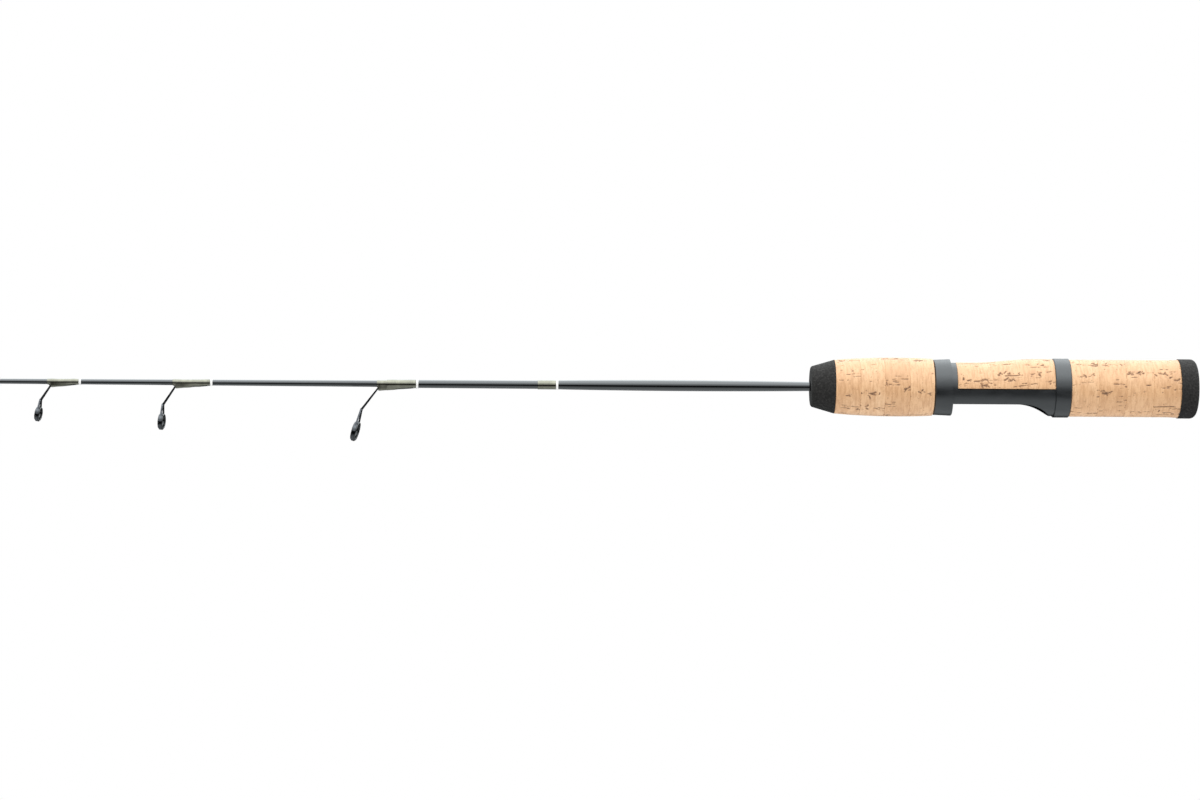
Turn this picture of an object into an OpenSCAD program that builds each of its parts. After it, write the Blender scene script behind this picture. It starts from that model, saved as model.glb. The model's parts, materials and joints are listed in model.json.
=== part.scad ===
// Ice fishing rod, 24 inch class, with a fore grip that screws down on the reel foot.
// The rod lies along X: the flat end of the butt cap is at X = 0 and the tip points to -X.
// The guides and the reel foot hang below the rod, towards -Z.

/* [Rod] */
// Length from the butt cap to the face of the tip ring
rod_l = 609.6; // [600:0.1:660]
// Radius of the solid tip section at the tip
tip_r = 1.2; // [1.1:0.05:1.3]
// Radius of the solid tip section where it enters the tubular section
splice_r = 1.6; // [1.5:0.05:1.7]
// Radius of the tubular section at its front end
tube_front_r = 1.95; // [1.9:0.01:2]
// Radius of the tubular section inside the handle
tube_rear_r = 2.1; // [2.05:0.01:2.12]
// Radius of the clear coat at its two ends
coat_end_r = 2.22; // [2.18:0.01:2.3]
// How far the clear coat swells at its middle
coat_swell = 0.46; // [0.2:0.02:0.6]

/* [Rear grip] */
// Length of the butt cap that shows
cap_l = 9; // [8:0.5:12]
// Radius of the butt cap
cap_r = 14.6; // [14.5:0.1:15.5]
// Length of the rear cork grip
rear_cork_l = 54; // [50:1:60]
// Radius of the rear cork grip
rear_cork_r = 14.05; // [13.8:0.05:14.3]

/* [Reel seat] */
// Length of the fixed collar behind the reel
collar_l = 7.8; // [6:0.2:10]
// Radius of the fixed collar
collar_r = 14.5; // [14.4:0.1:15]
// Length of the bay for the cork insert
bay_l = 48; // [46:1:52]
// Length of the small collar in front of the bay
lip_l = 3; // [2.5:0.5:3]
// Depth of the reel foot's seat below the rod's axis
saddle_z = 8.2; // [8:0.1:8.2]
// Radius of the concave ramp up to the fixed collar
ramp_r = 20.3; // [18:0.1:22]
// Length of the sliding hood
hood_l = 8.1; // [8.1:0.1:9]
// Radius of the sliding hood at its rear edge
hood_r = 13.9; // [13.9:0.1:14.2]
// Inner radius of the sliding hood and of the fixed pocket
pocket_r = 12.7; // [12.7:0.05:12.8]
// Lead of the seat's thread: how far one turn of the fore grip moves the hood
thread_pitch = 2; // [1.5:0.5:2]
// How far the hood travels from open to closed
hood_travel = 6; // [4:1:6]

/* [Fore grip] */
// Length of the cork of the fore grip
fore_cork_l = 48.3; // [46:0.1:52]
// Length of the foam nose cone
nose_l = 11.5; // [10:0.5:14]
// Radius of the nose cone's front face
nose_front_r = 9.8; // [9:0.1:11]
// Radius where the nose cone meets the cork
nose_rear_r = 13.2; // [12.8:0.1:13.4]

/* [Guides] */
// Distance of each ring's centre behind the tip, tip guide first
ring_back = [42.4, 102.3, 196.7]; // [30:0.1:205]
// Distance of each ring's centre below the rod's axis
ring_drop = [15.8, 19.1, 23.2]; // [15:0.1:24]
// Outer diameter of each ring's holder
ring_od = [7.4, 8.2, 10]; // [7:0.1:11]
// Distance from each ring's centre to the centre of its frame's round top
frame_h = [5.8, 7.1, 9.9]; // [5.6:0.1:10.4]
// Lean of each ring from upright, bottom towards the tip
ring_lean = [9, 4, 15.5]; // [0:0.1:20]
// Lean of each leg from upright
leg_lean = [35.5, 34.5, 37]; // [30:0.5:40]
// Length of each thread wrap
wrap_l = [13.1, 16.5, 18.3]; // [13:0.1:20]
// How far the rings stand turned on their legs
ring_turn = -10; // [-20:1:20]

/* [Hidden] */

$fn = 96;
hull_fn = 32;
far = 60;            // longer than any cut has to be
slip = 0.3;          // gap between pieces that move past each other
lap = 0.5;           // how far joined shapes of one piece run into each other
fit = 0.05;          // radial clearance of a running fit
cork_rings = 4;      // rings in each cork grip

// Stations along the rod, from the butt forward
cork_end_x = -cap_l;
collar_end_x = cork_end_x - rear_cork_l;
bay_end_x = collar_end_x - collar_l;
bay_front_x = bay_end_x - bay_l;
lip_front_x = bay_front_x - lip_l;
hood_front_x = lip_front_x - hood_l;
fore_end_x = hood_front_x - slip;
nose_end_x = fore_end_x - fore_cork_l;
nose_front_x = nose_end_x - nose_l;

// Reel seat
seat_bore_r = 4.6;
barrel_r = 8.2;
groove_d = 0.6;
key_z = 7.5;                              // flat on top of the barrel that stops the hood turning
barrel_front_x = nose_end_x + hood_travel + 1.5;
lip_r = 12.1;
bay_floor_z = -1;
spine_r = 6.2;                            // tube that the cork insert sits over
saddle_r = 11.9;
ramp_x = bay_end_x - 15.8;                // where the ramp starts
pocket_end_x = bay_end_x + 2.8;
tenon_r = 9;
tenon_l = 25;
arbor_l = 14;                             // rear bush, ahead of the collar

// Butt cap's plug in the last cork ring
plug_r = 3.2;
plug_l = 6;

// Cork insert
insert_z = -0.6;
insert_gap = 0.1;
insert_front_r = 12.3;
insert_rear_r = 14.2;
insert_rise = [bay_front_x + 9, bay_end_x - 9];   // stretch where it swells to the collar

// Sliding hood
web_t = 1.5;
hood_front_r = 13.55;
hood_slant = 2;                           // degrees that the rear edge leans
hood_tail = 1.1;                          // how far the hood reaches over the small collar
neck_r = 10;
neck_l = 3.9;
flange_t = 1.2;
flange_x = hood_front_x - neck_l - flange_t;

// Fore grip
fore_bore_r = 11.6;
nut_end_x = flange_x - slip;
nut_l = 30;
fore_swell = 3.2;                         // depth of the parabola that the cork follows
fore_rear_r = 14;
nose_bore_r = 2.6;

// Blank
blank_end_x = -24;
tip_x = -rod_l;
blank_tip_x = tip_x + 3;
coat_rear_x = barrel_front_x - 2;
coat_front_x = nose_front_x - 123.8;
marker_l = 9;
trim_l = 1.1;
wrap_t = 0.2;
splice_l = 26;
spigot_r = splice_r - 0.1;                // end of the tip section, inside the tube
tube_bore_r = splice_r - 0.3;

// Guides
leg_z = -2.2;                             // where the legs would meet the blank
leg_gap = 0.4;                            // from a leg's bend to its wrap
foot_short = 1.5;                         // how far a foot ends before its wrap does
foot_end_t = 0.25;
foot_w = 1.8;
foot_t = 0.8;
strap_t = 1.1;
plate_t = 0.8;
rim_w = 0.7;                              // width of the teardrop's rim beside its window
hoop_l = 1.4;
hoop_t = 0.35;
eye_r = 1.7;                              // radius of the frame's top
leg_lap = 0.8;                            // how far a leg reaches below its frame's top edge
ring_wall = 0.17;                         // ceramic ring's wall, as a share of its radius
ring_wall_min = 0.6;
ring_l = [2.4, 1.7];                      // length of a guide's ring, and of the tip top's
ring_land = [1.6, 0.9];                   // straight part of each bore

// Tip top
top_ring_od = 6;
top_drop = 4.9;
top_tube_l = 9;
top_tube_r = 1.65;
top_tube_x = tip_x + (ring_l[1] - plate_t) / 2;
top_plate_r = 2;
brace_r = 0.4;

// The splice lies under the wrap of the last guide
splice_x = wrap_x0(2) + 4;
step_l = 0.01;                            // length of the step at the splice
blank_table = [
    [tip_x, tip_r], [splice_x, splice_r], [splice_x + step_l, tube_front_r],
    [coat_front_x, tube_rear_r - 0.03], [nose_front_x, tube_rear_r], [0, tube_rear_r]
];

cork_color = [0.93, 0.77, 0.56];
cork_dark = [0.88, 0.70, 0.48];
foam_color = [0.13, 0.12, 0.12];
seat_color = [0.22, 0.23, 0.25];
blank_color = [0.08, 0.09, 0.10];
thread_color = [0.42, 0.38, 0.30];
trim_color = [0.95, 0.95, 0.93];
frame_color = [0.20, 0.22, 0.23];
ceramic_color = [0.10, 0.10, 0.11];

// ---- Helpers ----

// Blank's radius at a station
function blank_r(x) = lookup(x, blank_table);

// Points [x, r] of an arc about a centre [x, r]
function arc(c, r, from, to, steps = 8) =
    [for (i = [0:steps]) let (a = from + (to - from) * i / steps) c + r * [cos(a), sin(a)]];

// Eases from 0 to 1
function ease(u) = let (v = min(max(u, 0), 1)) v * v * (3 - 2 * v);

// Solid turned about the X axis from an outline of [x, r] points
module turned(outline) {
    rotate([0, 90, 0]) rotate_extrude() polygon([for (p = outline) [p[1], p[0]]]);
}

// Round bar along X
module bar(x0, x1, r, at = [0, 0]) {
    translate([x0, at[0], at[1]]) rotate([0, 90, 0]) cylinder(h = x1 - x0, r = r);
}

// Tube along X
module tube(x0, x1, r, bore) {
    difference() {
        bar(x0, x1, r);
        bar(x0 - 1, x1 + 1, bore);
    }
}

// Block between two stations, from z0 up to z1, across the whole rod
module block(x0, x1, z0, z1) {
    translate([x0, -far / 2, z0]) cube([x1 - x0, far, z1 - z0]);
}

// ---- Blank ----

// The blank as a solid, to cut wraps and coats to it
module blank_core(x0, x1) {
    inside = [for (p = blank_table) if (p[0] > x0 && p[0] < x1) p];
    turned(concat([[x0, 0], [x0, blank_r(x0)]], inside, [[x1, blank_r(x1)], [x1, 0]]));
}

module tip_blank() {
    color(blank_color) turned([
        [blank_tip_x, 0], [blank_tip_x, blank_r(blank_tip_x)], [splice_x, splice_r],
        [splice_x, spigot_r], [splice_x + splice_l, spigot_r], [splice_x + splice_l, 0]
    ]);
}

module butt_blank() {
    color(blank_color) difference() {
        blank_core(splice_x + 2 * step_l, blank_end_x);
        bar(splice_x - 1, splice_x + splice_l, spigot_r);
        bar(splice_x + splice_l - 1, blank_end_x + 1, tube_bore_r);
    }
}

// Clear coat over the rear of the blank: a shallow barrel, then straight into the fore grip
module butt_coat() {
    steps = 24;
    span = nose_front_x - coat_front_x;
    swell = [for (i = [0:steps]) let (u = 2 * i / steps - 1)
        [coat_front_x + span * i / steps, coat_end_r + coat_swell * (1 - u * u)]];
    color(blank_color) difference() {
        turned(concat([[coat_front_x, 0]], swell, [[coat_rear_x, coat_end_r], [coat_rear_x, 0]]));
        blank_core(coat_front_x - 1, coat_rear_x + 1);
    }
}

// ---- Guides ----

function tilt_up(i) = [sin(ring_lean[i]), cos(ring_lean[i])];
function ring_centre(i) = [tip_x + ring_back[i], -ring_drop[i]];
function leg_root(i) = ring_centre(i) + (frame_h[i] + eye_r - leg_lap) * tilt_up(i);
function foot_z(i) = -blank_r(wrap_x0(i) + wrap_l[i]) - foot_t;
function wrap_x0(i) = let (root = leg_root(i), rise = leg_z - root[1])
    root[0] + rise * tan(leg_lean[i]) + leg_gap;
function wrap_x1(i) = wrap_x0(i) + wrap_l[i];

// Unit vector, and a vector turned a quarter turn
function unit(v) = v / norm(v);
function quarter(v) = [-v[1], v[0]];

// Strap bent once, through the [x, z] points p, q and s, thin in the XZ plane and wide along Y
module strap(p, q, s, t_leg, t_foot, t_end, w) {
    n1 = quarter(unit(q - p));
    n2 = quarter(unit(s - q));
    mitre = unit(n1 + n2) / (unit(n1 + n2) * n1);
    translate([0, w / 2, 0]) rotate([90, 0, 0]) linear_extrude(w) polygon([
        p + n1 * t_leg / 2, q + mitre * t_foot / 2, s + n2 * t_foot / 2,
        s + n2 * (t_foot / 2 - t_end), q - mitre * t_foot / 2, p - n1 * t_leg / 2
    ]);
}

// Outline of two discs, at 0 and at h along Y, joined by straight sides just inside their tangents
module drop_outline(r0, r1, h) {
    inside = 0.98;
    a = asin((r0 - r1) / h);
    side = inside * [cos(a), sin(a)];
    circle(r = r0);
    translate([0, h]) circle(r = r1);
    polygon([
        r0 * side, [0, h] + r1 * side,
        [-r1 * side[0], h + r1 * side[1]], [-r0 * side[0], r0 * side[1]]
    ]);
}

// Puts a flat piece, drawn with its ring at 0 and its top along +Y, in a guide's ring plane
module in_ring_plane(i) {
    c = ring_centre(i);
    root = leg_root(i);
    translate([root[0], 0, root[1]]) rotate([0, 0, ring_turn]) translate([-root[0], 0, -root[1]])
        translate([c[0], 0, c[1]]) rotate([0, ring_lean[i], 0]) rotate([90, 0, 90]) children();
}

// Holder for a ceramic ring: a teardrop plate with a window, and a hoop round the ring
module ring_holder(r, h, eye) {
    inset = 0.1;                          // keeps the plate's round end inside the hoop
    collar = 0.15;                        // ring of plate left round the hoop
    difference() {
        union() {
            translate([0, 0, -plate_t / 2]) linear_extrude(plate_t) difference() {
                drop_outline(r - inset, eye, h);
                difference() {
                    drop_outline(r - rim_w, eye - rim_w + inset, h);
                    circle(r = r + collar);
                }
            }
            translate([0, 0, -hoop_l / 2]) cylinder(h = hoop_l, r = r);
        }
        translate([0, 0, -hoop_l]) cylinder(h = 2 * hoop_l, r = r - hoop_t);
    }
}

// Ceramic ring with a rolled bore
module ceramic(r, length, straight) {
    outer = r - hoop_t;
    inner = outer - max(ring_wall * r, ring_wall_min);
    bow = (outer - inner) * 0.55;         // roundness of the bore's two mouths
    half = length / 2;
    land = straight / 2;
    edge_r = 0.2;
    edge_l = 0.3;
    rotate_extrude() polygon(concat(
        [[outer, -half + edge_l], [outer, half - edge_l], [outer - edge_r, half]],
        [for (a = [90:15:180]) [inner + bow + bow * cos(a), land + (half - land) * sin(a)]],
        [for (a = [180:15:270]) [inner + bow + bow * cos(a), -land + (half - land) * sin(a)]],
        [[outer - edge_r, -half]]
    ));
}

module guide_frame(i) {
    bend = [wrap_x0(i) - leg_gap, foot_z(i) + foot_t / 2];
    color(frame_color) {
        in_ring_plane(i) ring_holder(ring_od[i] / 2, frame_h[i], eye_r);
        strap(leg_root(i), bend, [wrap_x1(i) - foot_short, bend[1]], strap_t, foot_t, foot_end_t, foot_w);
    }
}

module guide_ring(i) {
    color(ceramic_color) in_ring_plane(i) ceramic(ring_od[i] / 2, ring_l[0], ring_land[0]);
}

// Thread wound over the blank and the guide's foot, tapering with the foot
module guide_wrap(i) {
    x0 = wrap_x0(i);
    x1 = wrap_x1(i);
    r0 = blank_r(x1) + wrap_t;
    end_l = 0.3;                          // straight part at each end
    taper = 0.06;                         // how much thicker it is at the leg
    color(thread_color) difference() {
        hull() {
            bar(x0, x0 + end_l, r0 + taper, $fn = hull_fn);
            bar(x0, x0 + end_l, foot_w / 2 + wrap_t, [0, foot_z(i) + foot_t / 2], $fn = hull_fn);
            bar(x1 - end_l, x1, r0, $fn = hull_fn);
        }
        blank_core(x0 - 1, x1 + 1);
        guide_frame(i);
    }
}

// Narrow bright band at the handle end of a wrap
module band(x) {
    proud = 0.05;
    color(trim_color) difference() {
        bar(x, x + trim_l, blank_r(x + trim_l) + wrap_t + proud);
        blank_core(x - 1, x + trim_l + 1);
    }
}

module marker_wrap() {
    x = coat_front_x - trim_l;
    color(thread_color) difference() {
        bar(x - marker_l, x, blank_r(x) + wrap_t);
        blank_core(x - marker_l - 1, x + 1);
    }
}

// ---- Tip top ----

module in_top_plane() {
    translate([tip_x + ring_l[1] / 2, 0, -top_drop]) rotate([90, 0, 90]) children();
}

// Metal tube glued over the tip of the blank
module tip_top_tube() {
    color(frame_color) difference() {
        bar(top_tube_x, top_tube_x + top_tube_l, top_tube_r);
        blank_core(blank_tip_x, blank_tip_x + top_tube_l);
    }
}

// Ring holder brazed to the tube, with two round braces back to it
module tip_top_frame() {
    r = top_ring_od / 2;
    color(frame_color) difference() {
        union() {
            in_top_plane() ring_holder(r, top_drop, top_plate_r);
            for (side = [-1, 1]) {
                low = [tip_x + ring_l[1] / 2, side * (r - brace_r / 2), -top_drop];
                high = [tip_x + top_tube_l, side * 2 * brace_r, -4 * brace_r];
                run = high - low;
                translate(low) rotate([0, acos(run[2] / norm(run)), atan2(run[1], run[0])])
                    cylinder(h = norm(run), r = brace_r);
            }
        }
        bar(top_tube_x - far, top_tube_x + top_tube_l, top_tube_r);
        in_top_plane() cylinder(h = far, r = r - hoop_t, center = true);
    }
}

module tip_top_ring() {
    color(ceramic_color) in_top_plane() ceramic(top_ring_od / 2, ring_l[1], ring_land[1]);
}

// ---- Fore grip, which turns and screws along the seat ----

module nose_cone() {
    edge = 1.2;
    slope = 0.35;                         // how far the cone grows over the rounded edge
    color(foam_color) difference() {
        turned(concat(
            [[nose_front_x, 0]],
            arc([nose_front_x + edge, nose_front_r - edge + slope], edge, 180, 105),
            [[nose_end_x, nose_rear_r], [nose_end_x, 0]]
        ));
        bar(nose_front_x - 1, nose_end_x + 1, nose_bore_r);
    }
}

// Radius of the fore grip's cork, u = 0 at the nose and 1 at the hood
function fore_r(u) = nose_rear_r + (fore_rear_r - nose_rear_r) * u + fore_swell * u * (1 - u);

module fore_cork(k) {
    steps = 6;
    ring_len = fore_cork_l / cork_rings;
    x0 = nose_end_x + k * ring_len;
    side = [for (i = [0:steps]) [x0 + ring_len * i / steps, fore_r((k + i / steps) / cork_rings)]];
    color(k % 2 == 0 ? cork_color : cork_dark) difference() {
        turned(concat([[x0, 0]], side, [[x0 + ring_len, 0]]));
        bar(x0 - 1, x0 + ring_len + 1, fore_bore_r);
    }
}

// Threaded bush bonded inside the cork
module grip_nut() {
    color(seat_color) tube(nut_end_x - nut_l, nut_end_x, fore_bore_r, barrel_r + fit);
}

// Ring glued in behind the hood's flange, so that the hood comes forward with the grip
module hood_retainer() {
    color(seat_color) tube(flange_x + flange_t + slip, fore_end_x, fore_bore_r, neck_r + fit);
}

// ---- Sliding hood ----

module sliding_hood() {
    edge = 0.4;
    rear_x = lip_front_x + hood_tail;
    color(seat_color) difference() {
        union() {
            turned([
                [hood_front_x, 0], [hood_front_x, hood_front_r - edge],
                [hood_front_x + edge, hood_front_r], [rear_x - edge, hood_r],
                [rear_x, hood_r - edge], [rear_x, 0]
            ]);
            bar(flange_x, hood_front_x + 1, neck_r);
            bar(flange_x, flange_x + flange_t, fore_bore_r - slip);
        }
        // pocket for the reel foot
        bar(hood_front_x + web_t, rear_x + 1, pocket_r);
        // keyed hole for the barrel
        difference() {
            bar(flange_x - 1, hood_front_x + web_t + 1, barrel_r + fit);
            block(flange_x - 2, hood_front_x + web_t + 2, key_z + fit, far);
        }
        // slanted rear edge, longest at the bottom
        translate([lip_front_x, 0, hood_r]) rotate([0, -hood_slant, 0])
            translate([0, -far / 2, -far]) cube([far, far, 2 * far]);
    }
}

// ---- Reel seat ----

// Barrel with ring grooves in place of its thread: each is 0.8 of the pitch wide, with a flat bottom
function grooves(x0, x1) = let (n = floor((x1 - x0) / thread_pitch), top = 0.4, floor_w = 0.15)
    [for (i = [0:n - 1]) let (x = x0 + (i + 0.5) * thread_pitch) each [
        [x - top * thread_pitch, barrel_r], [x - floor_w * thread_pitch, barrel_r - groove_d],
        [x + floor_w * thread_pitch, barrel_r - groove_d], [x + top * thread_pitch, barrel_r]
    ]];

// Radius along the cork insert, and 0.3 less along the saddle below it
function insert_r(x) = insert_front_r + (insert_rear_r - insert_front_r)
    * ease((x - insert_rise[0]) / (insert_rise[1] - insert_rise[0]));

function insert_side(x0, x1, inset, steps = 24) =
    [for (i = [0:steps]) let (x = x0 + (x1 - x0) * i / steps) [x, insert_r(x) - inset]];

// Space below the saddle, and the concave ramp behind it
module foot_cut() {
    block(lip_front_x, ramp_x, -far, -saddle_z);
    intersection() {
        translate([ramp_x, far / 2, -saddle_z - ramp_r]) rotate([90, 0, 0]) cylinder(h = far, r = ramp_r);
        block(ramp_x - 0.01, collar_end_x, -far, -saddle_z);
    }
}

// Fixed pocket under the collar for the reel foot's rear end
module foot_pocket() {
    intersection() {
        bar(ramp_x, pocket_end_x, pocket_r);
        block(ramp_x - 1, pocket_end_x + 1, -far, -saddle_z);
    }
}

// Bay on top for the cork insert, round the spine
module insert_bay() {
    difference() {
        block(bay_front_x, bay_end_x, bay_floor_z, far);
        bar(bay_front_x - 1, bay_end_x + 1, spine_r);
    }
}

module reel_seat_body() {
    edge = 0.3;
    color(seat_color) difference() {
        union() {
            turned(concat(
                [[barrel_front_x, 0], [barrel_front_x, barrel_r - groove_d]],
                grooves(barrel_front_x, fore_end_x),
                [[lip_front_x + 1, barrel_r], [lip_front_x + 1, 0]]
            ));
            turned([
                [lip_front_x, 0], [lip_front_x, lip_r - edge], [lip_front_x + edge, lip_r],
                [bay_front_x, lip_r], [bay_front_x, 0]
            ]);
            turned(concat(
                [[bay_front_x - lap, 0]],
                insert_side(bay_front_x - lap, bay_end_x + lap, insert_front_r - saddle_r),
                [[bay_end_x + lap, 0]]
            ));
            turned([
                [bay_end_x, 0], [bay_end_x, collar_r - edge], [bay_end_x + edge, collar_r],
                [collar_end_x - edge, collar_r], [collar_end_x, collar_r - edge], [collar_end_x, 0]
            ]);
            bar(collar_end_x - 1, collar_end_x + tenon_l, tenon_r);
        }
        insert_bay();
        foot_cut();
        foot_pocket();
        bar(barrel_front_x - 1, collar_end_x + tenon_l + 1, seat_bore_r);
        block(barrel_front_x - 1, lip_front_x, key_z, far);
    }
}

module cork_insert() {
    x0 = bay_front_x + insert_gap;
    x1 = bay_end_x - insert_gap;
    color(cork_color) difference() {
        turned(concat([[x0, 0]], insert_side(x0, x1, 0), [[x1, 0]]));
        block(x0 - 1, x1 + 1, -far, insert_z);
        bar(x0 - 1, x1 + 1, spine_r);
    }
}

// Bush that centres the blank in the seat
module arbor(x0, x1) {
    color(trim_color) difference() {
        bar(x0, x1, seat_bore_r);
        blank_core(x0 - 1, x1 + 1);
    }
}

// ---- Rear grip ----

module rear_cork(k) {
    ring_len = rear_cork_l / cork_rings;
    x0 = collar_end_x + k * ring_len;
    x1 = x0 + ring_len;
    flare = k == cork_rings - 1 ? 0.25 : 0;
    flare_l = 5;
    color(k % 2 == 0 ? cork_color : cork_dark) difference() {
        turned([[x0, 0], [x0, rear_cork_r], [x1 - flare_l, rear_cork_r], [x1, rear_cork_r + flare], [x1, 0]]);
        bar(x0 - 1, x1 + 1, rear_bore_r[k]);
    }
}

// Bores of the rear rings: two over the seat's tenon, one over the blank and one for the cap's plug
rear_bore_r = [tenon_r, tenon_r, tube_rear_r, plug_r];

module butt_cap() {
    edge = 3;
    color(foam_color) union() {
        turned(concat(
            [[cork_end_x, 0], [cork_end_x, cap_r]],
            [[-edge, cap_r]],
            [for (a = [75:-15:0]) [-edge + edge * cos(a), cap_r - edge + edge * sin(a)]],
            [[0, 0]]
        ));
        bar(cork_end_x - plug_l, cork_end_x + 1, plug_r);
    }
}

tip_blank();
butt_blank();
butt_coat();
tip_top_tube();
tip_top_frame();
tip_top_ring();
guide_frame(0);  // guide_1_frame
guide_ring(0);  // guide_1_ring
guide_wrap(0);  // guide_1_wrap
band(wrap_x1(0));  // guide_1_trim
guide_frame(1);  // guide_2_frame
guide_ring(1);  // guide_2_ring
guide_wrap(1);  // guide_2_wrap
band(wrap_x1(1));  // guide_2_trim
guide_frame(2);  // guide_3_frame
guide_ring(2);  // guide_3_ring
guide_wrap(2);  // guide_3_wrap
band(wrap_x1(2));  // guide_3_trim
marker_wrap();
band(coat_front_x - trim_l);  // marker_trim
nose_cone();
fore_cork(0);  // fore_cork_1
fore_cork(1);  // fore_cork_2
fore_cork(2);  // fore_cork_3
fore_cork(3);  // fore_cork_4
grip_nut();
hood_retainer();
sliding_hood();
reel_seat_body();
cork_insert();
arbor(barrel_front_x, fore_end_x);  // front_arbor
arbor(bay_end_x - arbor_l, collar_end_x + tenon_l);  // rear_arbor
rear_cork(0);  // rear_cork_1
rear_cork(1);  // rear_cork_2
rear_cork(2);  // rear_cork_3
rear_cork(3);  // rear_cork_4
butt_cap();
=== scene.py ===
"""Looks of the ice fishing rod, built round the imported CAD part. Metres, in the part's own frame."""
import json
import math

import bpy
import numpy as np
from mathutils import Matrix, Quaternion, Vector


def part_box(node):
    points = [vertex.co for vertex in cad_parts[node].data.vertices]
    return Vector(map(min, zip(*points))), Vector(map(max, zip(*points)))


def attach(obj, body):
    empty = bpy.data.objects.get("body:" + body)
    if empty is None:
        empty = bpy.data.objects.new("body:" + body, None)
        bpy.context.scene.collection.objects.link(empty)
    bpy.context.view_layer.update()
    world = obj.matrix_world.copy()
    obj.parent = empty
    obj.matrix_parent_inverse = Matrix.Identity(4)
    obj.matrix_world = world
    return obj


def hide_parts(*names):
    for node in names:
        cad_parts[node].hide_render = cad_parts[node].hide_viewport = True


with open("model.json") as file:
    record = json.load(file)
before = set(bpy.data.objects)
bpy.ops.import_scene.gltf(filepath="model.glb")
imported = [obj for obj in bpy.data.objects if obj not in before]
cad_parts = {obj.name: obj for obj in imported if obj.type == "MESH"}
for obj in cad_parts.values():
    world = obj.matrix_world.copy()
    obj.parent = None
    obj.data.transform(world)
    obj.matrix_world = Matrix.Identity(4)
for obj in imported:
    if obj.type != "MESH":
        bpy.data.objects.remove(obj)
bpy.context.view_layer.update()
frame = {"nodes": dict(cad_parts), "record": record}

MM = 0.001
SEED = 7
GUIDES = (1, 2, 3)
RINGS = (1, 2, 3, 4)


# ---- Places read from the frame ----

def corners(node):
    """A CAD node's mesh points, as an array."""
    return np.array([v.co for v in frame["nodes"][node].data.vertices], float)


def outline(node):
    """Stations along X and outer radii of a turned CAD node."""
    co = corners(node)
    r = np.hypot(co[:, 1], co[:, 2])
    stations = np.unique(np.round(co[:, 0], 6))
    radii = np.array([r[np.abs(co[:, 0] - x) < 2e-6].max() for x in stations])
    return stations, radii


def bore(node):
    """Smallest radius of a turned CAD node."""
    co = corners(node)
    return float(np.hypot(co[:, 1], co[:, 2]).min())


blank_outline = {node: outline(node) for node in ("tip_blank", "butt_blank")}


def blank_radius(x):
    """Radius of the bare blank at a station."""
    node = "tip_blank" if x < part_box("butt_blank")[0].x else "butt_blank"
    return float(np.interp(x, *blank_outline[node]))


# ---- Mesh helpers ----

def new_object(name, verts, faces, smooth=True):
    mesh = bpy.data.meshes.new(name)
    mesh.from_pydata([tuple(v) for v in verts], [], faces)
    mesh.validate()
    mesh.update()
    mesh.polygons.foreach_set("use_smooth", [smooth] * len(mesh.polygons))
    obj = bpy.data.objects.new(name, mesh)
    bpy.context.scene.collection.objects.link(obj)
    return obj


def round_points(x, radius, angle):
    """Points about the X axis. Angle 0 is the near side, -Y, and a quarter turn on is the top."""
    return np.stack([x + 0 * angle, -radius * np.cos(angle), radius * np.sin(angle)], -1)


def full_turn(cols):
    return np.arange(cols) * 2 * math.pi / cols


def sleeve(outer, inner_front, inner_rear, closed=True):
    """A solid sleeve along X: its outside is a grid of points, its inside runs straight from end to end.

    closed means that it goes right round. If not, two flat sides close it.
    """
    rows, cols = outer.shape[:2]
    verts = np.concatenate([outer.reshape(-1, 3), inner_front, inner_rear])
    front, rear, last_row = rows * cols, rows * cols + cols, (rows - 1) * cols
    faces = []
    for j in range(cols if closed else cols - 1):
        k = (j + 1) % cols
        for i in range(rows - 1):
            faces.append((i * cols + j, (i + 1) * cols + j, (i + 1) * cols + k, i * cols + k))
        faces.append((front + j, j, k, front + k))
        faces.append((last_row + j, rear + j, rear + k, last_row + k))
        faces.append((front + j, front + k, rear + k, rear + j))
    if not closed:
        for j, order in ((0, -1), (cols - 1, 1)):
            side = [i * cols + j for i in range(rows)] + [rear + j, front + j]
            faces.append(tuple(side[::order]))
    return verts, faces


def finish_piece(obj, body, slot, material, *nodes):
    obj.data.materials.clear()
    obj.data.materials.append(material)
    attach(obj, body)
    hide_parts(*nodes)


# ---- Cork: pits, streaks and cracks as real relief ----

CELL = 0.33 * MM              # spacing of the cork's mesh
PIT_DEPTH = 0.36 * MM
GRAIN_DEPTH = 0.02 * MM
DOT_STEP = 0.5                # cells between the dots that draw a line
DASHES = 3.8                  # marks of each kind in a square centimetre
STREAKS = 1.7
CLUSTERS = 0.5
DOTS = 6
RING_BEVEL = (0.07 * MM, 0.01 * MM)                       # how far the last two rows stand back
SADDLE_BEVEL = (0.2 * MM, 0.05 * MM)
WORN_WIDTH = 5.5 * MM         # width over which the saddle's lower edges are worn


def smooth_noise(rng, rows, cols, cell_rows, cell_cols, wrap=True):
    """Smooth noise from -1 to 1 on a grid. wrap closes it round the rod."""
    a, b = max(2, math.ceil(rows / cell_rows) + 2), max(3, round(cols / cell_cols))
    grid = rng.uniform(-1, 1, (a, b))
    i, j = np.arange(rows) / cell_rows, np.arange(cols) * b / cols
    i0, j0 = i.astype(int), j.astype(int)
    fi, fj = i - i0, j - j0
    fi, fj = fi * fi * (3 - 2 * fi), fj * fj * (3 - 2 * fj)

    def at(p, q):
        return grid[np.ix_(np.minimum(p, a - 1), q % b if wrap else np.minimum(q, b - 1))]

    low = at(i0, j0) * (1 - fj) + at(i0, j0 + 1) * fj
    high = at(i0 + 1, j0) * (1 - fj) + at(i0 + 1, j0 + 1) * fj
    return low * (1 - fi)[:, None] + high * fi[:, None]


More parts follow.
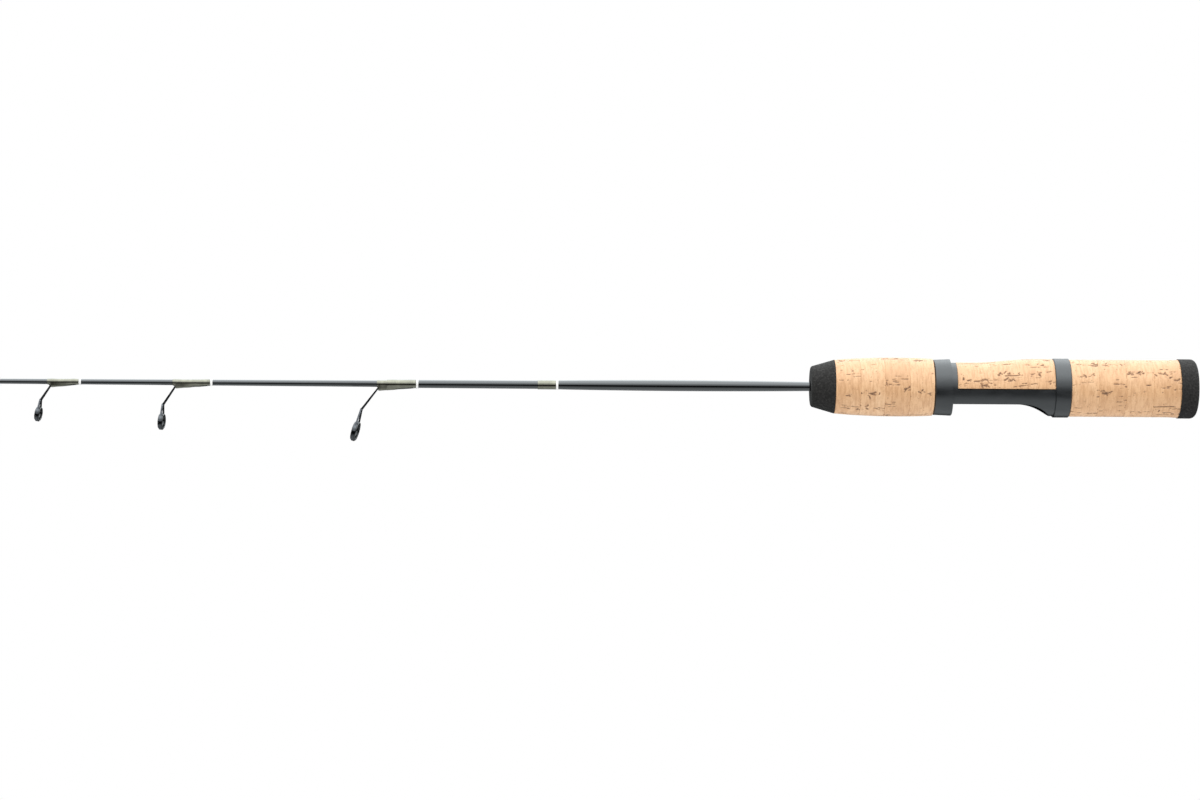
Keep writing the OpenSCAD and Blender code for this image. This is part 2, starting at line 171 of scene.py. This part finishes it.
def stamp(field, path, width, strength, closed):
    """Presses soft dots into the field. Path is in cells, width is each dot's radius in cells."""
    rows, cols = field.shape
    for (i, j), w, s in zip(path, width, strength):
        reach = int(math.ceil(w * 2)) + 1
        ii = np.arange(max(0, int(i) - reach), min(rows, int(i) + reach + 1))
        jj = np.arange(int(j) - reach, int(j) + reach + 1)
        if not closed:
            jj = jj[(jj >= 0) & (jj < cols)]
        if len(ii) == 0 or len(jj) == 0:
            continue
        d2 = (ii[:, None] - i) ** 2 + (jj[None, :] - j) ** 2
        at = np.ix_(ii, jj % cols)
        field[at] = np.maximum(field[at], s * np.exp(-d2 / (w * w)))


def streak(rng, field, closed, length, width, strength):
    """A thin streak along the rod, anywhere on the field, which wanders a little and breaks up."""
    rows, cols = field.shape
    i, j = rng.uniform(-0.3 * length, rows), rng.uniform(0, cols)
    n = max(2, int(length / DOT_STEP))
    along = np.linspace(0, length, n)
    drift = np.cumsum(rng.normal(0, 0.07, n)) + along * rng.normal(0, 0.03)
    edge = np.minimum(1, 4 * np.minimum(along, length - along) / length + 0.3)
    broken = np.where(smooth_noise(rng, n, 3, 6, 3)[:, 0] < -0.35, 0.3, 1.0)
    w = width * edge * rng.uniform(0.75, 1.2, n)
    stamp(field, zip(i + along, j + drift), w, strength * edge * broken, closed)


def crack(rng, field, closed, i, j, length, width, strength):
    """A short ragged crack that mostly follows the rod."""
    heading = rng.normal(0, 0.35)
    n = max(3, int(length / DOT_STEP))
    headings = heading + np.cumsum(rng.normal(0, 0.22, n))
    along, across = np.cumsum(np.cos(headings)), np.cumsum(np.sin(headings))
    path = np.stack([i + DOT_STEP * along, j + DOT_STEP * across], -1)
    stamp(field, path, width * rng.uniform(0.5, 1.4, n), strength * rng.uniform(0.6, 1.0, n), closed)


def cork_field(rng, rows, cols, closed, marks):
    """How deep the cork is pitted, from 0 to 1. marks scales how many marks it has."""
    field = np.zeros((rows, cols))
    cell = CELL / MM
    area = rows * cols * cell * cell / 100.0              # in square centimetres
    for _ in range(round(area * DASHES * marks)):
        streak(rng, field, closed, rng.gamma(3.0, 0.5) / cell, rng.uniform(0.35, 0.7), rng.uniform(0.2, 0.8))
    for _ in range(round(area * STREAKS * marks)):
        length = 2 + rng.gamma(2.0, 2.6) / cell
        streak(rng, field, closed, length, rng.uniform(0.4, 0.75), rng.uniform(0.4, 1.0))
    for _ in range(round(area * CLUSTERS * marks)):       # clusters of ragged cracks
        ci, cj, spread = rng.uniform(0, rows), rng.uniform(0, cols), rng.uniform(1, 4) / cell
        for _ in range(rng.integers(4, 10)):
            crack(rng, field, closed, ci + rng.normal(0, spread), cj + rng.normal(0, 0.5 / cell),
                  rng.uniform(0.6, 2.6) / cell, rng.uniform(0.45, 1.1), rng.uniform(0.6, 1.0))
    for _ in range(round(area * DOTS * marks)):
        at = [(rng.uniform(0, rows), rng.uniform(0, cols))]
        stamp(field, at, [rng.uniform(0.4, 0.8)], [rng.uniform(0.15, 0.55)], closed)
    return field


def end_bevel(rows, first, second):
    """How far each row stands back at the two ends of a grid."""
    from_end = np.minimum(np.arange(rows), np.arange(rows)[::-1])
    return np.where(from_end == 0, first, np.where(from_end == 1, second, 0.0))


def cork_ring(name, node, body, rng, marks, tone):
    """A cork ring turned to the CAD ring's outline, with its pits pressed into the outside."""
    xs, rs = outline(node)
    rows = round((xs[-1] - xs[0]) / CELL) + 1
    cols = round(2 * math.pi * rs.max() / CELL)
    x = np.linspace(xs[0], xs[-1], rows)[:, None]
    angle = full_turn(cols)
    field = cork_field(rng, rows, cols, True, marks)
    grain = smooth_noise(rng, rows, cols, 9, 6)
    bevel = end_bevel(rows, *RING_BEVEL)[:, None]
    radius = np.interp(x, xs, rs) - PIT_DEPTH * field - bevel - GRAIN_DEPTH * (1 + grain)
    inner = bore(node)
    verts, faces = sleeve(round_points(x, radius, angle[None, :]), round_points(xs[0], inner, angle),
                          round_points(xs[-1], inner, angle))
    cork_piece(name, body, verts, faces, field, tone, node)


def cork_saddle(name, node, rng, marks, tone):
    """The cork half-sleeve over the seat, with pits in its round side and flat lower edges."""
    xs, rs = outline(node)
    bottom = -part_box(node)[0].z                           # how far it reaches below the axis
    rows = round((xs[-1] - xs[0]) / CELL) + 1
    cols = round((math.pi + 2 * math.asin(bottom / rs.max())) * rs.max() / CELL) + 1
    x = np.linspace(xs[0], xs[-1], rows)[:, None]
    r = np.interp(x, xs, rs)
    across = np.linspace(0, 1, cols)[None, :]

    def angles(radius):
        reach = np.arcsin(bottom / radius)
        return -reach + (math.pi + 2 * reach) * across

    field = cork_field(rng, rows, cols, False, marks)
    from_edge = np.minimum(np.arange(cols), np.arange(cols)[::-1])
    worn = cork_field(rng, rows, cols, False, 2 * marks)  # more marks along the lower edges
    field = np.maximum(field, worn * np.clip(1.3 - from_edge * CELL / WORN_WIDTH, 0, 1))
    grain = smooth_noise(rng, rows, cols, 9, 6, wrap=False)
    bevel = end_bevel(rows, *SADDLE_BEVEL)[:, None] + end_bevel(cols, *SADDLE_BEVEL)[None, :]
    radius = r - PIT_DEPTH * field - bevel - GRAIN_DEPTH * (1 + grain)
    inner = bore(node)
    inside = angles(np.array([[inner]]))[0]
    verts, faces = sleeve(round_points(x, radius, angles(r)), round_points(xs[0], inner, inside),
                          round_points(xs[-1], inner, inside), closed=False)
    cork_piece(name, "rod", verts, faces, field, tone, node)


def cork_piece(name, body, verts, faces, field, tone, node):
    """Makes a cork object. Its material reads how deep each point is pressed in, and the ring's tone."""
    obj = new_object(name, verts, faces)
    pit = np.zeros(len(verts), np.float32)
    pit[:field.size] = field.ravel()
    for attribute, values in (("pit", pit), ("tone", np.full(len(verts), tone, np.float32))):
        obj.data.attributes.new(attribute, "FLOAT", "POINT").data.foreach_set("value", values)
    finish_piece(obj, body, "cork", materials["cork"], node)


# ---- Materials ----

class Nodes:
    """A node tree, with short calls for its nodes and links."""

    def __init__(self, tree):
        self.tree = tree

    def add(self, kind, links=(), **settings):
        node = self.tree.nodes.new(kind)
        for key, value in settings.items():
            setattr(node, key, value)
        for key, value in dict(links).items():
            self.put(value, node.inputs[key])
        return node

    def put(self, value, socket):
        if isinstance(value, bpy.types.NodeSocket):
            self.tree.links.new(value, socket)
        else:
            socket.default_value = value

    def math(self, operation, a, b):
        node = self.add("ShaderNodeMath", operation=operation)
        self.put(a, node.inputs[0])
        self.put(b, node.inputs[1])
        return node.outputs[0]

    def range(self, value, low, high, to_low, to_high, **settings):
        links = {"Value": value, "From Min": low, "From Max": high, "To Min": to_low, "To Max": to_high}
        return self.add("ShaderNodeMapRange", links, **settings).outputs["Result"]


class Material(Nodes):
    """A material with one principled shader."""

    def __init__(self, name):
        self.material = bpy.data.materials.new(name)
        self.material.use_nodes = True
        super().__init__(self.material.node_tree)
        self.shader = self.tree.nodes["Principled BSDF"]

    def set(self, **values):
        for key, value in values.items():
            self.put(value, self.shader.inputs[key.replace("_", " ")])
        return self.material

    def position(self, scale):
        """Object coordinates, scaled along each axis."""
        where = self.add("ShaderNodeTexCoord").outputs["Object"]
        return self.add("ShaderNodeMapping", {"Vector": where, "Scale": scale}).outputs["Vector"]

    def noise(self, scale, detail, roughness, distortion=0.0):
        links = {"Vector": self.position(scale), "Scale": 1.0, "Detail": detail,
                 "Roughness": roughness, "Distortion": distortion}
        return self.add("ShaderNodeTexNoise", links).outputs["Fac"]

    def attribute(self, name):
        return self.add("ShaderNodeAttribute", attribute_name=name).outputs["Fac"]

    def ramp(self, factor, *stops):
        """Colour ramp through (position, colour) stops."""
        node = self.add("ShaderNodeValToRGB", {"Fac": factor})
        points = node.color_ramp.elements
        while len(points) < len(stops):
            points.new(0.5)
        for point, (where, colour) in zip(points, stops):
            point.position = where
            point.color = (*colour, 1)
        return node.outputs["Color"]

    def mix(self, factor, a, b):
        node = self.add("ShaderNodeMix", data_type="RGBA")
        self.put(factor, node.inputs[0])
        self.put((*a, 1) if isinstance(a, tuple) else a, node.inputs[6])
        self.put((*b, 1) if isinstance(b, tuple) else b, node.inputs[7])
        return node.outputs[2]

    def bump(self, height, distance, strength):
        links = {"Height": height, "Distance": distance, "Strength": strength}
        return self.add("ShaderNodeBump", links).outputs["Normal"]


def cork_material():
    """Sanded cork: tan cells, faint grain round the ring, brown pits and streaks."""
    m = Material("cork")
    grain = m.noise((1000, 200, 200), 5, 0.6)
    broad = m.noise((110, 60, 60), 3, 0.5, 0.6)
    speck = m.noise((1700, 1700, 1700), 3, 0.7)
    tone = m.math("ADD", m.math("MULTIPLY", broad, 0.7), m.math("MULTIPLY", m.attribute("tone"), 0.3))
    base = m.ramp(tone, (0.25, (0.58, 0.320, 0.145)), (0.5, (0.67, 0.390, 0.190)),
                  (0.78, (0.74, 0.47, 0.255)))
    base = m.mix(m.range(grain, 0.44, 0.62, 0.0, 0.58), base, (0.46, 0.225, 0.088))
    base = m.mix(m.range(speck, 0.58, 0.72, 0.0, 0.42), base, (0.33, 0.155, 0.06))
    base = m.mix(m.range(speck, 0.40, 0.28, 0.0, 0.30), base, (0.84, 0.64, 0.42))
    ragged = m.math("ADD", m.attribute("pit"), m.math("MULTIPLY", m.math("SUBTRACT", speck, 0.5), 0.6))
    base = m.mix(m.range(ragged, 0.06, 0.30, 0.0, 0.82), base, (0.25, 0.115, 0.042))
    base = m.mix(m.range(ragged, 0.32, 0.74, 0.0, 0.90), base, (0.060, 0.028, 0.012))
    height = m.math("ADD", m.math("MULTIPLY", grain, 0.6), m.math("MULTIPLY", speck, 0.4))
    return m.set(Base_Color=base, Roughness=m.range(ragged, 0.0, 0.6, 0.45, 0.85),
                 Normal=m.bump(height, 0.00008, 0.5), Specular_IOR_Level=0.9,
                 Sheen_Weight=0.25, Sheen_Roughness=0.4)


def foam_material():
    """Black foam, sanded: fine cells that catch a little light, with painted shade in their hollows."""
    m = Material("foam")
    cells = m.add("ShaderNodeTexVoronoi", {"Vector": m.position((1300, 1300, 1300)), "Scale": 1.0})
    cells = cells.outputs["Distance"]
    patch = m.noise((1100, 1100, 1100), 4, 0.65)
    colour = m.ramp(patch, (0.30, (0.006, 0.0057, 0.0052)), (0.55, (0.0145, 0.0137, 0.0125)),
                    (0.74, (0.034, 0.032, 0.029)))
    # painted shade: the hollow of each cell, where the bump is lowest, is coloured near black
    colour = m.mix(m.range(cells, 0.05, 0.30, 0.6, 0.0), colour, (0.002, 0.002, 0.002))
    height = m.math("ADD", m.math("MULTIPLY", cells, 0.5), patch)
    return m.set(Base_Color=colour, Roughness=m.range(patch, 0.3, 0.7, 0.95, 0.70),
                 Normal=m.bump(height, 0.00022, 0.7), Specular_IOR_Level=0.4)


def seat_material():
    """Graphite-filled nylon with a satin skin, faint flow marks and rubbed patches."""
    m = Material("seat")
    fine = m.noise((1600, 1600, 1600), 4, 0.6)
    flow = m.noise((60, 160, 160), 4, 0.55, 0.8)
    worn = m.noise((220, 700, 700), 5, 0.6)
    colour = m.ramp(flow, (0.35, (0.010, 0.0115, 0.013)), (0.65, (0.016, 0.018, 0.020)))
    colour = m.mix(m.range(worn, 0.62, 0.75, 0.0, 0.4), colour, (0.030, 0.032, 0.035))
    rough = m.math("ADD", m.range(flow, 0.3, 0.7, 0.27, 0.36), m.range(fine, 0.3, 0.7, -0.03, 0.05))
    return m.set(Base_Color=colour, Roughness=rough, Normal=m.bump(fine, 0.00003, 0.4),
                 Specular_IOR_Level=0.9)


GRAPHITE_IOR = 1.7


def blank_material(name, coat_roughness):
    """Black lacquered graphite: faint fibre bands round it under a glossy lacquer."""
    m = Material(name)
    bands = m.noise((1100, 40, 40), 3, 0.5, 0.3)
    fibre = m.noise((160, 1800, 1800), 4, 0.6)
    colour = m.ramp(bands, (0.35, (0.0015, 0.0018, 0.0022)), (0.7, (0.004, 0.0045, 0.005)))
    colour = m.mix(m.range(fibre, 0.6, 0.75, 0.0, 0.4), colour, (0.009, 0.010, 0.011))
    return m.set(Base_Color=colour, Roughness=m.range(bands, 0.35, 0.7, 0.07, 0.12),
                 Normal=m.bump(bands, 0.000004, 0.3), IOR=GRAPHITE_IOR,
                 Coat_Weight=1.0, Coat_Roughness=coat_roughness, Coat_IOR=1.5)


WAVE_SCALE = 1100             # puts the wave texture's bands 0.29 mm apart


def thread_material(name, dark, light, metallic, rough):
    """Thread wound close under clear epoxy, painted lighter on each turn's crown and darker in the groove
    between turns, as shade. Its shine is set with metallic.
    """
    m = Material(name)
    wave = m.add("ShaderNodeTexWave", {"Vector": m.position((1.0, 1.0, 1.0)), "Scale": WAVE_SCALE,
                                       "Distortion": 0.6, "Detail": 2.0, "Detail Scale": 6.0},
                 wave_type="BANDS", bands_direction="X").outputs["Fac"]
    uneven = m.noise((420, 160, 160), 4, 0.6)
    # painted shade and highlight: each turn is lighter on its crown and darker in the groove between turns,
    # following the bump's bands
    colour = m.mix(wave, dark, light)
    colour = m.mix(m.range(uneven, 0.40, 0.75, 0.0, 0.6), colour, tuple(c * 0.45 for c in dark))
    height = m.math("ADD", wave, m.math("MULTIPLY", uneven, 0.5))
    return m.set(Base_Color=colour, Roughness=m.range(uneven, 0.3, 0.7, rough, rough + 0.05),
                 Normal=m.bump(height, 0.000004, 0.2), Metallic=metallic,
                 Coat_Weight=1.0, Coat_Roughness=0.03, Coat_IOR=1.55)


def metal_material():
    """Black-chromed stamped steel, polished, with fine drawing marks and brighter wear in patches."""
    m = Material("guide_metal")
    marks = m.noise((2500, 300, 300), 4, 0.6)
    wide = m.noise((400, 400, 400), 4, 0.6)
    colour = m.ramp(wide, (0.35, (0.06, 0.062, 0.067)), (0.65, (0.12, 0.124, 0.132)))
    return m.set(Base_Color=colour, Roughness=m.range(marks, 0.3, 0.7, 0.12, 0.22),
                 Normal=m.bump(marks, 0.00001, 0.3), Metallic=1.0)


def ceramic_material():
    """Polished black ceramic."""
    m = Material("ceramic")
    wide = m.noise((500, 500, 500), 4, 0.55)
    colour = m.ramp(wide, (0.35, (0.004, 0.0045, 0.005)), (0.7, (0.010, 0.011, 0.012)))
    return m.set(Base_Color=colour, Roughness=m.range(wide, 0.3, 0.7, 0.06, 0.12),
                 Normal=m.bump(wide, 0.00001, 0.3), IOR=1.8)


def inner_material(name, low, high):
    """Moulded plastic or foam inside the handle."""
    m = Material(name)
    wide = m.noise((400, 400, 400), 4, 0.6)
    return m.set(Base_Color=m.ramp(wide, (0.35, low), (0.7, high)),
                 Roughness=m.range(wide, 0.3, 0.7, 0.45, 0.6), Normal=m.bump(wide, 0.00005, 0.5))


materials = {
    "cork": cork_material(),
    "foam": foam_material(),
    "seat": seat_material(),
    "blank": blank_material("blank", 0.04),
    "clear_coat": blank_material("clear_coat", 0.02),
    "thread": thread_material("thread", (0.16, 0.15, 0.105), (0.25, 0.235, 0.18), 0.95, 0.05),
    "trim": thread_material("trim", (0.78, 0.78, 0.76), (0.90, 0.90, 0.89), 0.0, 0.45),
    "guide_metal": metal_material(),
    "ceramic": ceramic_material(),
    "nut": inner_material("nut", (0.02, 0.02, 0.022), (0.045, 0.045, 0.05)),
    "bush": inner_material("bush", (0.55, 0.5, 0.42), (0.72, 0.68, 0.6)),
}


# ---- CAD nodes whose shape is kept ----

slot_of = {row["node"]: row["material_slot"] for row in frame["record"]["subparts"]}
for node, obj in frame["nodes"].items():
    obj.data.materials.clear()
    obj.data.materials.append(materials[slot_of[node]])


# ---- Cork grips ----

rng = np.random.default_rng(SEED)
FORE = {1: (1.2, 0.45), 2: (0.95, 0.75), 3: (1.1, 0.2), 4: (0.5, 0.8)}    # marks and tone of each ring
REAR = {1: (1.3, 0.70), 2: (1.0, 0.2), 3: (0.7, 0.6), 4: (1.2, 0.3)}
for k in RINGS:
    cork_ring(f"fore_grip_cork_{k}", f"fore_cork_{k}", "fore_grip", rng, *FORE[k])
for k in RINGS:
    cork_ring(f"rear_grip_cork_{k}", f"rear_cork_{k}", "rod", rng, *REAR[k])
cork_saddle("seat_cork", "cork_insert", rng, 1.0, 0.5)


# ---- Wraps ----

WRAP_COLS = 56
WRAP_STEP = 0.3 * MM
EPOXY = 0.16 * MM             # thickness of thread and epoxy over the bare blank
LUMP = 0.09 * MM              # how uneven the epoxy is
FOOT_R = 0.95 * MM            # roundness of the wrap over the guide's foot
TAPER_L = 0.7 * MM            # length over which the epoxy runs out at each end
AHEAD = {1: 2.4 * MM, 2: 2.0 * MM, 3: 0.9 * MM}           # how far the wrap goes past the leg
THREAD = 0.15 * MM            # width of one turn of a band's thread
BAND_ROUNDING = 0.12 * MM     # how far a band falls off at its two ends
BAND_ROUNDING_L = 0.2 * MM    # length over which it falls off
TRIM_RIDGE = 0.02 * MM        # depth between the turns of a white band
MARKER_RIDGE = 0.012 * MM
RUN_OUT = 0.85                # share of the epoxy that is gone at each end of a wrap
FLAT_START = 0.2              # share of the length ahead of the leg where a wrap stays round


def wrap_section(r0, drop, r1):
    """Radius in each direction of a belt round two circles: r0 about the axis, and r1 lying drop below it."""
    psi = full_turn(WRAP_COLS) - math.pi                  # 0 is straight down
    r = np.full(WRAP_COLS, r0)
    if drop + r1 > r0 + 1e-6:
        beta = math.acos(max(-1.0, min(1.0, (r0 - r1) / drop)))
        straight = r0 / np.cos(np.abs(psi) - beta)
        low = drop * np.cos(psi) + np.sqrt(np.maximum(r1 * r1 - (drop * np.sin(psi)) ** 2, 0))
        reach = math.atan2(r1 * math.sin(beta), drop + r1 * math.cos(beta))
        r = np.where(np.abs(psi) < beta, np.where(np.abs(psi) > reach, straight, low), r)
    return psi, r


def guide_wrap(k):
    """Thread and epoxy over the blank and the guide's foot, from just ahead of the leg to the white band."""
    lo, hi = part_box(f"guide_{k}_wrap")
    x0, x1, foot = lo.x - AHEAD[k], hi.x, -lo.z
    rows = round((x1 - x0) / WRAP_STEP) + 1
    x = np.linspace(x0, x1, rows)
    lumps = smooth_noise(np.random.default_rng(SEED + k), rows, WRAP_COLS, 9, 14)
    outer = np.empty((rows, WRAP_COLS, 3))
    for i in range(rows):
        from_leg = max(0.0, (x[i] - lo.x) / (x1 - lo.x))
        run_out = max(0.0, 1 - min(x[i] - x0, x1 - x[i]) / TAPER_L)
        rise = min(1.0, max(0.0, (x[i] - x0) / AHEAD[k] - FLAT_START) / (1 - FLAT_START))
        r0 = blank_radius(x[i]) + EPOXY * (1 - RUN_OUT * run_out ** 2)
        low = r0 + (foot - r0) * rise * rise * (3 - 2 * rise) * (1 - from_leg) ** 0.9
        psi, r = wrap_section(r0, max(low - FOOT_R, 1e-6), FOOT_R)
        outer[i] = round_points(x[i], r + lumps[i] * LUMP * (1 - run_out), psi - math.pi / 2)
    ends = [round_points(end, blank_radius(end), psi - math.pi / 2) for end in (x0, x1)]
    obj = new_object(f"guide_{k}_thread", *sleeve(outer, *ends))
    finish_piece(obj, "rod", "thread", materials["thread"], f"guide_{k}_wrap")


def band(name, node, slot, ridge):
    """Turns of thread side by side round the blank, rounded over at both ends."""
    lo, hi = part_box(node)
    turns = round((hi.x - lo.x) / THREAD)
    x = np.linspace(lo.x, hi.x, turns * 6 + 1)[:, None]
    phase = (x - lo.x) / (hi.x - lo.x) * turns
    from_end = np.minimum(x - lo.x, hi.x - x)
    r = hi.z - ridge * (1 - np.abs(np.sin(math.pi * phase)) ** 0.6)
    r = r - BAND_ROUNDING * np.maximum(0.0, 1 - from_end / BAND_ROUNDING_L) ** 2
    angle = full_turn(WRAP_COLS)
    ends = [round_points(end, blank_radius(end), angle) for end in (lo.x, hi.x)]
    obj = new_object(name, *sleeve(round_points(x, r, angle[None, :]), *ends))
    finish_piece(obj, "rod", slot, materials[slot], node)


for k in GUIDES:
    guide_wrap(k)
    band(f"guide_{k}_band", f"guide_{k}_trim", "trim", TRIM_RIDGE)
band("marker_thread", "marker_wrap", "thread", MARKER_RIDGE)
band("marker_band", "marker_trim", "trim", TRIM_RIDGE)


# ---- Camera ----

CAMERA_X = -0.367             # the camera stands ahead of the handle and looks a little back along the rod
DISTANCE = 2.033
CENTRE = Vector((-0.2933, 0, -0.0073))                    # what the picture's centre looks at
ROLL = math.radians(0.37)
LENS = 124.5
SENSOR = 36

camera_data = bpy.data.cameras.new("camera")
camera_data.sensor_width = SENSOR
camera_data.lens = LENS
camera = bpy.data.objects.new("camera", camera_data)
bpy.context.scene.collection.objects.link(camera)
bpy.context.scene.camera = camera
back = math.sqrt(DISTANCE ** 2 - (CENTRE.x - CAMERA_X) ** 2)
camera.location = (CAMERA_X, -back, CENTRE.z)
camera.rotation_mode = "QUATERNION"
camera.rotation_quaternion = (CENTRE - camera.location).to_track_quat("-Z", "Y") @ Quaternion((0, 0, 1), ROLL)


# ---- Floor ----

FLOOR_Z = -0.3
FLOOR_X = (-1.4, 0.8)
FLOOR_Y = (-0.9, 0.9)
floor = new_object("floor", [(FLOOR_X[i], FLOOR_Y[j], FLOOR_Z) for i, j in ((0, 0), (1, 0), (1, 1), (0, 1))],
                   [(0, 1, 2, 3)], smooth=False)
floor.data.materials.append(Material("floor").set(Base_Color=(0.8, 0.8, 0.8, 1), Roughness=0.9))
floor.is_shadow_catcher = True
floor.visible_diffuse = False                             # the world already lights the rod from below
floor.visible_glossy = False


# ---- Light: a white world that lights the rod like a studio ----

# There are no lamps. These brightness levels are spread over the world by height and depth.
WALL_LEVEL = 1.1              # seen by glossy rays: above the horizon, high up, low down and all round
BOX_LEVEL = 1.7
FLOOR_LEVEL = 0.75
HORIZON_LEVEL = 0.02
COOL = (0.93, 1.0, 1.03, 1)   # tint of what glossy rays see
SOFT_LEVEL = 0.88             # seen by diffuse rays: all round, with more from above and below
SOFT_ABOVE = 0.95
SOFT_BELOW = 0.6


def studio():
    """World that is white to the camera. Glossy and matt surfaces each get their own pattern of light."""
    world = bpy.data.worlds.new("studio")
    world.use_nodes = True
    w = Nodes(world.node_tree)
    direction = w.add("ShaderNodeTexCoord").outputs["Generated"]
    height = w.add("ShaderNodeSeparateXYZ", {"Vector": direction}).outputs["Z"]
    depth = w.math("MULTIPLY", height, -1.0)

    def step(value, low, high, level):
        return w.range(value, low, high, 0.0, level, interpolation_type="SMOOTHSTEP")

    def total(*levels):
        light = levels[0]
        for level in levels[1:]:
            light = w.math("ADD", light, level)
        return light

    glossy = total(step(height, 0.0, 0.12, WALL_LEVEL), step(height, 0.30, 0.85, BOX_LEVEL),
                   step(depth, 0.42, 0.88, FLOOR_LEVEL), HORIZON_LEVEL)
    soft = total(step(height, 0.0, 0.6, SOFT_ABOVE), step(depth, 0.2, 0.8, SOFT_BELOW), SOFT_LEVEL)
    path = w.add("ShaderNodeLightPath").outputs

    def blend(factor, a, b):
        node = w.add("ShaderNodeMix", data_type="FLOAT")
        for value, socket in zip((factor, a, b), (node.inputs[0], node.inputs[2], node.inputs[3])):
            w.put(value, socket)
        return node.outputs[0]

    background = world.node_tree.nodes["Background"]
    light = blend(path["Is Camera Ray"], blend(path["Is Diffuse Ray"], glossy, soft), 1.0)
    w.put(light, background.inputs["Strength"])
    tint = w.add("ShaderNodeMix", {0: path["Is Glossy Ray"]}, data_type="RGBA")
    w.put((1, 1, 1, 1), tint.inputs[6])
    w.put(COOL, tint.inputs[7])
    w.put(tint.outputs[2], background.inputs["Color"])
    return world


bpy.context.scene.world = studio()
bpy.context.scene.view_settings.view_transform = "Standard"
